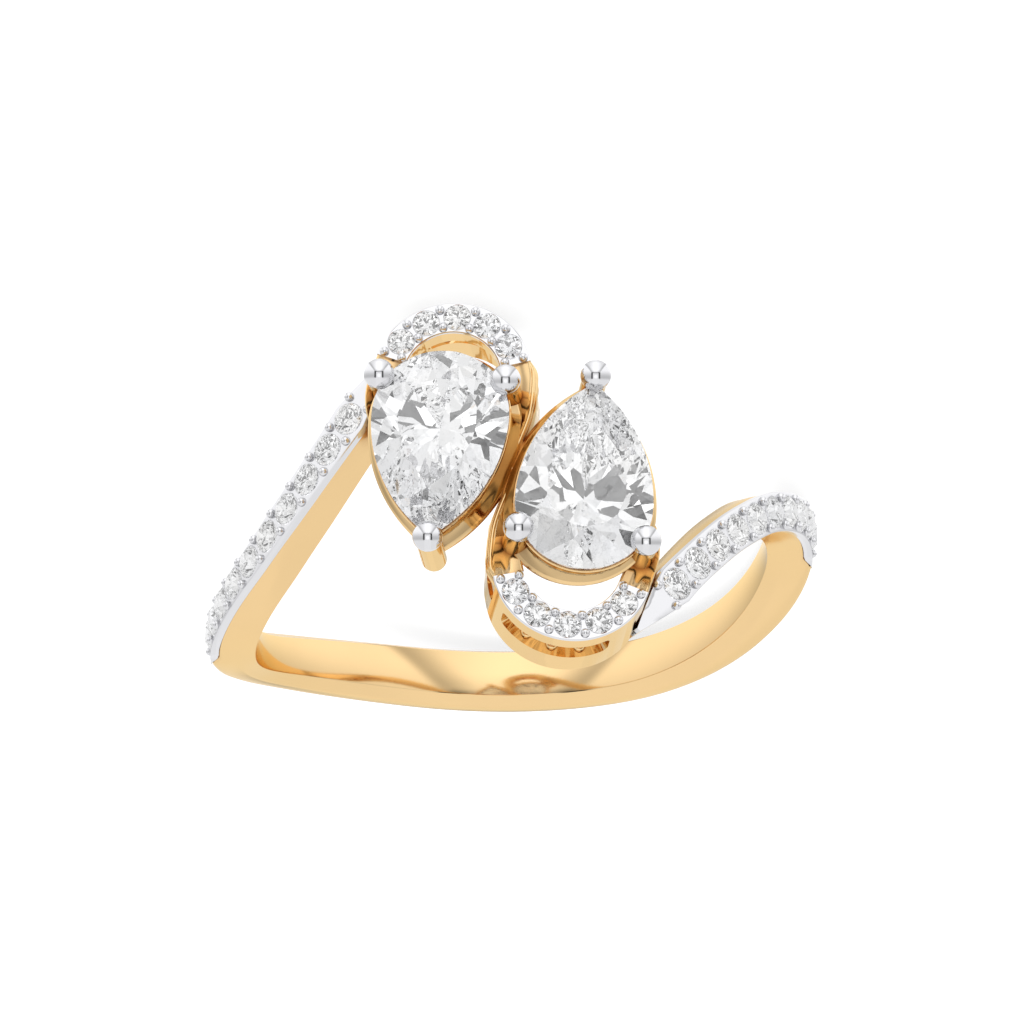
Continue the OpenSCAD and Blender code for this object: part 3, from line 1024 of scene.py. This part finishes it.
def grind_round(bm, d):
    """A round brilliant. The girdle's middle is at z = 0."""
    r, g = d / 2, 0.02 * d
    table, crown = 0.57, 0.15 * d
    prism(bm, round_spots(r, 32, 0), -d, d)
    grind(bm, (0, 0, g + crown), (0, 0, 1))
    for i in range(16):
        a = 2 * math.pi * i / 16
        n = Vector((math.cos(a), math.sin(a), 0))
        if i % 2:
            grind(bm, n * r * table * 1.03 + Vector((0, 0, g + crown)),
                  facet_normal(n, math.radians(22), 1))
        else:
            grind(bm, n * r + Vector((0, 0, g)), facet_normal(n, math.radians(34.5), 1))
            grind(bm, n * r + Vector((0, 0, -g)), facet_normal(n, math.radians(40.8), -1))
    for p, n in round_spots(r * 0.985, 16, 0.5):
        grind(bm, p + Vector((0, 0, g)), facet_normal(n, math.radians(41), 1))
        grind(bm, p + Vector((0, 0, -g)), facet_normal(n, math.radians(42.2), -1))


def grind_pear(bm):
    """A pear brilliant: mains from the point below, and finer facets towards the girdle."""
    head = settings()[1]
    g, crown, table = 0.05, 0.62, 0.56
    prism(bm, pear_outline(96), -3, 2)
    grind(bm, (0, 0, g + crown), (0, 0, 1))
    depth = 2.0
    culet = Vector((0, -0.07 * (head.pear_l - head.pear_w / 2), 0))
    for i, (p, n) in enumerate(pear_outline(32)):
        slope = max(math.atan2(depth, (p - culet).dot(n)), math.radians(37.5))
        if i % 4 == 0:
            grind(bm, p + Vector((0, 0, -g)), facet_normal(n, slope, -1))
        elif i % 2:
            grind(bm, p + Vector((0, 0, -g)) - n * 0.035,
                  facet_normal(n, slope + math.radians(1.2), -1))
    spots = pear_outline(64)
    centre = Vector((0, -0.15 * (head.pear_l - head.pear_w / 2), 0))
    for i, (p, n) in enumerate(spots):
        span = (p - centre).dot(n)
        slope = math.atan2(crown, span * (1 - table))
        if i % 8 == 0:
            grind(bm, p + Vector((0, 0, g)), facet_normal(n, slope, 1))
        elif i % 4 == 2:
            grind(bm, p + Vector((0, 0, g)) - n * 0.03, facet_normal(n, slope * 1.17, 1))
        elif i % 8 == 4:
            grind(bm, centre + (p - centre) * table * 1.02 + Vector((0, 0, g + crown)),
                  facet_normal(n, slope * 0.68, 1))


def round_spots(radius, count, offset):
    out = []
    for i in range(count):
        a = 2 * math.pi * (i + offset) / count
        n = Vector((math.cos(a), math.sin(a), 0))
        out.append((n * radius, n))
    return out


class RING_OT_pear_stones(bpy.types.Operator):
    """Cuts the two main stones"""
    bl_idname = "ring.pear_stones"
    bl_label = "Main stones"

    def execute(self, context):
        for side in SIDES:
            bm = bmesh.new()
            grind_pear(bm)
            check_closed(bm)
            bmesh.ops.transform(bm, matrix=cluster_place(side), verts=bm.verts)
            finish(bm, f"main_stone_{side}", "diamond", 1, slot="diamond",
                   replaces=[f"pear_{side}"])
        return {"FINISHED"}


class RING_OT_small_stones(bpy.types.Operator):
    """Cuts the round stones of the halos and the arms"""
    bl_idname = "ring.small_stones"
    bl_label = "Small stones"

    def execute(self, context):
        stones = settings()[2]
        course, halo = Course(), Halo()
        for side in SIDES:
            rows = (
                ("halo", HALO_COUNT, stones.halo_d, lambda i: halo.place(side, i)),
                ("arm", ARM_COUNT, stones.arm_d,
                 lambda i: course.place(side, course.stone_share(i))))
            for row, count, d, place in rows:
                bm = bmesh.new()
                for i in range(count):
                    stone = bmesh.new()
                    grind_round(stone, d)
                    check_closed(stone)
                    bmesh.ops.transform(stone, verts=stone.verts,
                                        matrix=place(i) @ Matrix.Translation((0, 0, 0.03)))
                    mesh = bpy.data.meshes.new("stone")
                    stone.to_mesh(mesh)
                    stone.free()
                    bm.from_mesh(mesh)
                    bpy.data.meshes.remove(mesh)
                finish(bm, f"{row}_stones_{side}", "diamond", 1, slot="diamond",
                       replaces=[f"{row}_{side}_{i + 1}" for i in range(count)])
        return {"FINISHED"}


# Stage

# The camera's angle from level on the upright ring, its distance in millimetres, pixels per
# millimetre there, and how many pixels the ring's centre is below the picture's
VIEW_UP = 70.2
VIEW_FAR = 244.0
VIEW_SCALE = 29.5
VIEW_DROP = 78.2
PICTURE = 1024
FLOOR_R = 2.5
SENSOR = 36
LIGHT_CROSSINGS = 28


class RING_OT_stage(bpy.types.Operator):
    """Sets the floor, the light and the camera"""
    bl_idname = "ring.stage"
    bl_label = "Stage"

    def execute(self, context):
        scene = context.scene
        place_floor()
        e = math.radians(VIEW_UP)
        back = POSE.to_3x3() @ Vector((0, -math.cos(e), math.sin(e))) / MM
        high = POSE.to_3x3() @ Vector((0, math.sin(e), math.cos(e))) / MM
        right = high.cross(back)
        place_camera(scene, back, high, right)
        light_world(back, high, right)
        scene.view_settings.view_transform = "Standard"
        # Light crosses a cut stone many times before it leaves
        scene.cycles.max_bounces = LIGHT_CROSSINGS
        scene.cycles.transmission_bounces = LIGHT_CROSSINGS
        scene.cycles.glossy_bounces = LIGHT_CROSSINGS
        scene.cycles.caustics_reflective = False
        scene.cycles.caustics_refractive = False
        return {"FINISHED"}


def place_floor():
    """A plain pale floor that the ring lies on."""
    bm = bmesh.new()
    bmesh.ops.create_circle(bm, cap_ends=True, segments=96, radius=FLOOR_R,
                            matrix=Matrix.Translation((0, 0, CAD_BOX[0][2])))
    floor = new_object(bm, "floor")
    mat, _ = new_material("floor_white", {
        "Base Color": (*settings()[3].floor, 1), "Roughness": 0.9,
        "Emission Color": (1, 1, 1, 1), "Emission Strength": 0.8})
    floor.data.materials.append(mat)
    # Metal and stones mirror the tent, and the floor only catches their shadow
    floor.visible_glossy = floor.visible_transmission = False


def place_camera(scene, back, high, right):
    """Looks at the upright ring's centre from the photograph's angle."""
    camera = bpy.data.objects.new("camera", bpy.data.cameras.new("camera"))
    camera.matrix_world = Matrix.Translation(back * VIEW_FAR * MM) @ Matrix(
        (right, high, back)).transposed().to_4x4()
    camera.data.sensor_width = SENSOR
    camera.data.lens = VIEW_SCALE * VIEW_FAR / PICTURE * SENSOR
    camera.data.shift_y = VIEW_DROP / PICTURE
    camera.data.clip_start, camera.data.clip_end = 0.01, 10
    scene.collection.objects.link(camera)
    scene.camera = camera


class Signal:
    """A value in a node tree that takes part in sums as a number does."""

    def __init__(self, tree, socket):
        self.tree, self.socket = tree, socket

    def math(self, operation, *others):
        node = self.tree.nodes.new("ShaderNodeMath")
        node.operation = operation
        for socket, value in zip(node.inputs, (self, *others)):
            if isinstance(value, Signal):
                self.tree.links.new(value.socket, socket)
            else:
                socket.default_value = value
        return Signal(self.tree, node.outputs[0])

    def __add__(self, other):
        return self.math("ADD", other)

    def __sub__(self, other):
        return self.math("SUBTRACT", other)

    def __mul__(self, other):
        return self.math("MULTIPLY", other)

    def __truediv__(self, other):
        return self.math("DIVIDE", other)

    def __abs__(self):
        return self.math("ABSOLUTE")

    def above(self, other):
        """The higher of the two."""
        return self.math("MAXIMUM", other)

    def below(self, other):
        """The lower of the two."""
        return self.math("MINIMUM", other)

    def ramp(self, start, end, first, last):
        """Goes smoothly from the first level to the last one, between start and end."""
        node = self.tree.nodes.new("ShaderNodeMapRange")
        node.interpolation_type = "SMOOTHSTEP"
        for name, number in (("From Min", start), ("From Max", end), ("To Min", first),
                             ("To Max", last)):
            node.inputs[name].default_value = number
        self.tree.links.new(self.socket, node.inputs["Value"])
        return Signal(self.tree, node.outputs["Result"])

    def blend(self, other, share):
        """This value where share is 0, and the other one where it is 1."""
        return other * share + self * (share * -1 + 1)


def distance(a, b):
    return (a * a + b * b).math("SQRT")


def beside(x, y, x0, y0, degrees):
    """How far a spot is from a line that leaves (x0, y0) at an angle from level."""
    c, d = math.cos(math.radians(degrees)), math.sin(math.radians(degrees))
    return (x - x0) * d - (y - y0) * c


def light_world(front, high, right):
    """A white tent in three panels, with dark gaps between them."""
    world = bpy.data.worlds.new("tent")
    bpy.context.scene.world = world
    world.use_nodes = True
    tree = world.node_tree
    glow = tree.nodes["Background"]
    glow.inputs["Color"].default_value = (1, 1, 1, 1)
    place = tree.nodes.new("ShaderNodeTexCoord")

    def along(direction):
        node = tree.nodes.new("ShaderNodeVectorMath")
        node.operation = "DOT_PRODUCT"
        tree.links.new(place.outputs["Generated"], node.inputs[0])
        node.inputs[1].default_value = direction
        return Signal(tree, node.outputs["Value"])

    # Where each direction shows on a mirror ball seen from the front
    size = (along(front) * 2.0 + 2.001).math("SQRT")
    x, y = along(right) / size, along(high) / size
    light = tree.nodes.new("ShaderNodeLightPath")
    through = Signal(tree, light.outputs["Is Transmission Ray"])
    level = tent_light(x, y).blend(stone_light(x, y), through)
    tree.links.new(level.socket, glow.inputs["Strength"])


# The middle of the lamp, below the middle of the mirror ball
LAMP_Y = -0.1


def tent_light(x, y):
    """What the metal mirrors: how bright the tent is at each spot of the mirror ball."""
    across = abs(x)
    # The lower and side panels, darker along a line a little below the middle
    level = y.ramp(-0.15, 0.38, 0.68, 1.3).above(y.ramp(-0.34, -0.15, 1.0, 0.68))
    level = level.above(across.ramp(0.2, 0.34, 1.05, 0.0))
    # Two upright dark gaps beside the middle, a softer bar above it and a lamp between them
    gap = abs(across - 0.24).ramp(0.035, 0.075, 0.08, 1.0)
    gap = gap.above(y.ramp(0.14, 0.2, 0.0, 1.0)).above(y.ramp(-0.28, -0.2, 1.0, 0.0))
    bar = abs(y - 0.16).ramp(0.02, 0.07, 0.5, 1.0).above(across.ramp(0.2, 0.26, 0.0, 1.0))
    lamp = distance(across, y - LAMP_Y).ramp(0.09, 0.15, 1.3, 1.0)
    level = level * gap * bar * lamp
    # The upper panel is brightest in its middle, and a gap runs up and out along each side
    side = beside(across, y, 0.24, 0.16, 54)
    upper = across.ramp(0.0, 0.5, 1.5, 1.0) * y.ramp(0.75, 0.95, 1.0, 0.75)
    upper = upper * y.ramp(0.22, 0.34, 0.86, 1.0)
    level = level.blend(upper, side.ramp(-0.02, 0.02, 1.0, 0.0) * y.ramp(0.17, 0.23, 0.0, 1.0))
    line = side.ramp(0.0, 0.05, 0.6, 1.0).above(side.ramp(-0.16, 0.0, 1.0, 0.6))
    level = level * line.above(y.ramp(0.13, 0.17, 1.0, 0.0))
    # A dark card below darkens the shank's underside
    return level * y.ramp(-0.992, -0.965, 0.35, 1.0)


def stone_light(x, y):
    """What the stones refract: wider and darker gaps, which make them sparkle."""
    across = abs(x)
    wide = abs(across - 0.22).ramp(0.065, 0.075, 0.0, 1.0)
    wide = wide.above(y.ramp(0.14, 0.17, 0.0, 1.0)).above(y.ramp(-0.34, -0.31, 1.0, 0.0))
    # A spoke runs out from each end of the two gaps
    for start_y, degrees, sign in ((0.12, 52, 1), (-0.3, -52, -1)):
        spoke = abs(beside(across, y, 0.2, start_y, degrees)).ramp(0.055, 0.065, 0.0, 1.0)
        wide = wide.below(spoke.above(((y - start_y) * sign).ramp(-0.03, 0.0, 1.0, 0.0)))
    # A ring round the lamp
    lamp = distance(across, y - LAMP_Y)
    wide = wide.below(abs(lamp - 0.17).ramp(0.045, 0.055, 0.0, 1.0))
    rim = distance(x, y)
    wide = wide.above(rim.ramp(0.6, 0.7, 0.0, 1.0))
    return ((wide * 0.99 + 0.01) * rim.ramp(0.2, 0.75, 1.0, 0.86)
            * x.ramp(-0.03, 0.03, 0.82, 1.05) * lamp.ramp(0.09, 0.12, 1.6, 1.0))


class RING_PT_panel(bpy.types.Panel):
    """Lists the ring's pieces"""
    bl_idname = "RING_PT_panel"
    bl_label = "Ring"
    bl_space_type = "VIEW_3D"
    bl_region_type = "UI"
    bl_category = "Ring"

    def draw(self, context):
        for group, cls in GROUPS.items():
            for name in cls.__annotations__:
                self.layout.prop(getattr(context.scene, group), name)
        for operator in OPERATORS:
            self.layout.operator(operator.bl_idname)


GROUPS = {"ring_band": BandSettings, "ring_head": HeadSettings, "ring_stones": StoneSettings,
          "ring_finish": FinishSettings}
OPERATORS = (RING_OT_band, RING_OT_arm_plates, RING_OT_collars, RING_OT_halo_plates,
             RING_OT_rails, RING_OT_claws, RING_OT_link, RING_OT_grains, RING_OT_pear_stones,
             RING_OT_small_stones, RING_OT_stage)


def register():
    for cls in (*GROUPS.values(), *OPERATORS, RING_PT_panel):
        bpy.utils.register_class(cls)
    for name, cls in GROUPS.items():
        setattr(bpy.types.Scene, name, PointerProperty(type=cls))


def unregister():
    for name in GROUPS:
        delattr(bpy.types.Scene, name)
    for cls in reversed((*GROUPS.values(), *OPERATORS, RING_PT_panel)):
        bpy.utils.unregister_class(cls)


def main():
    register()
    for operator in OPERATORS:
        group, name = operator.bl_idname.split(".")
        getattr(getattr(bpy.ops, group), name)()


if __name__ == "__main__":
    main()
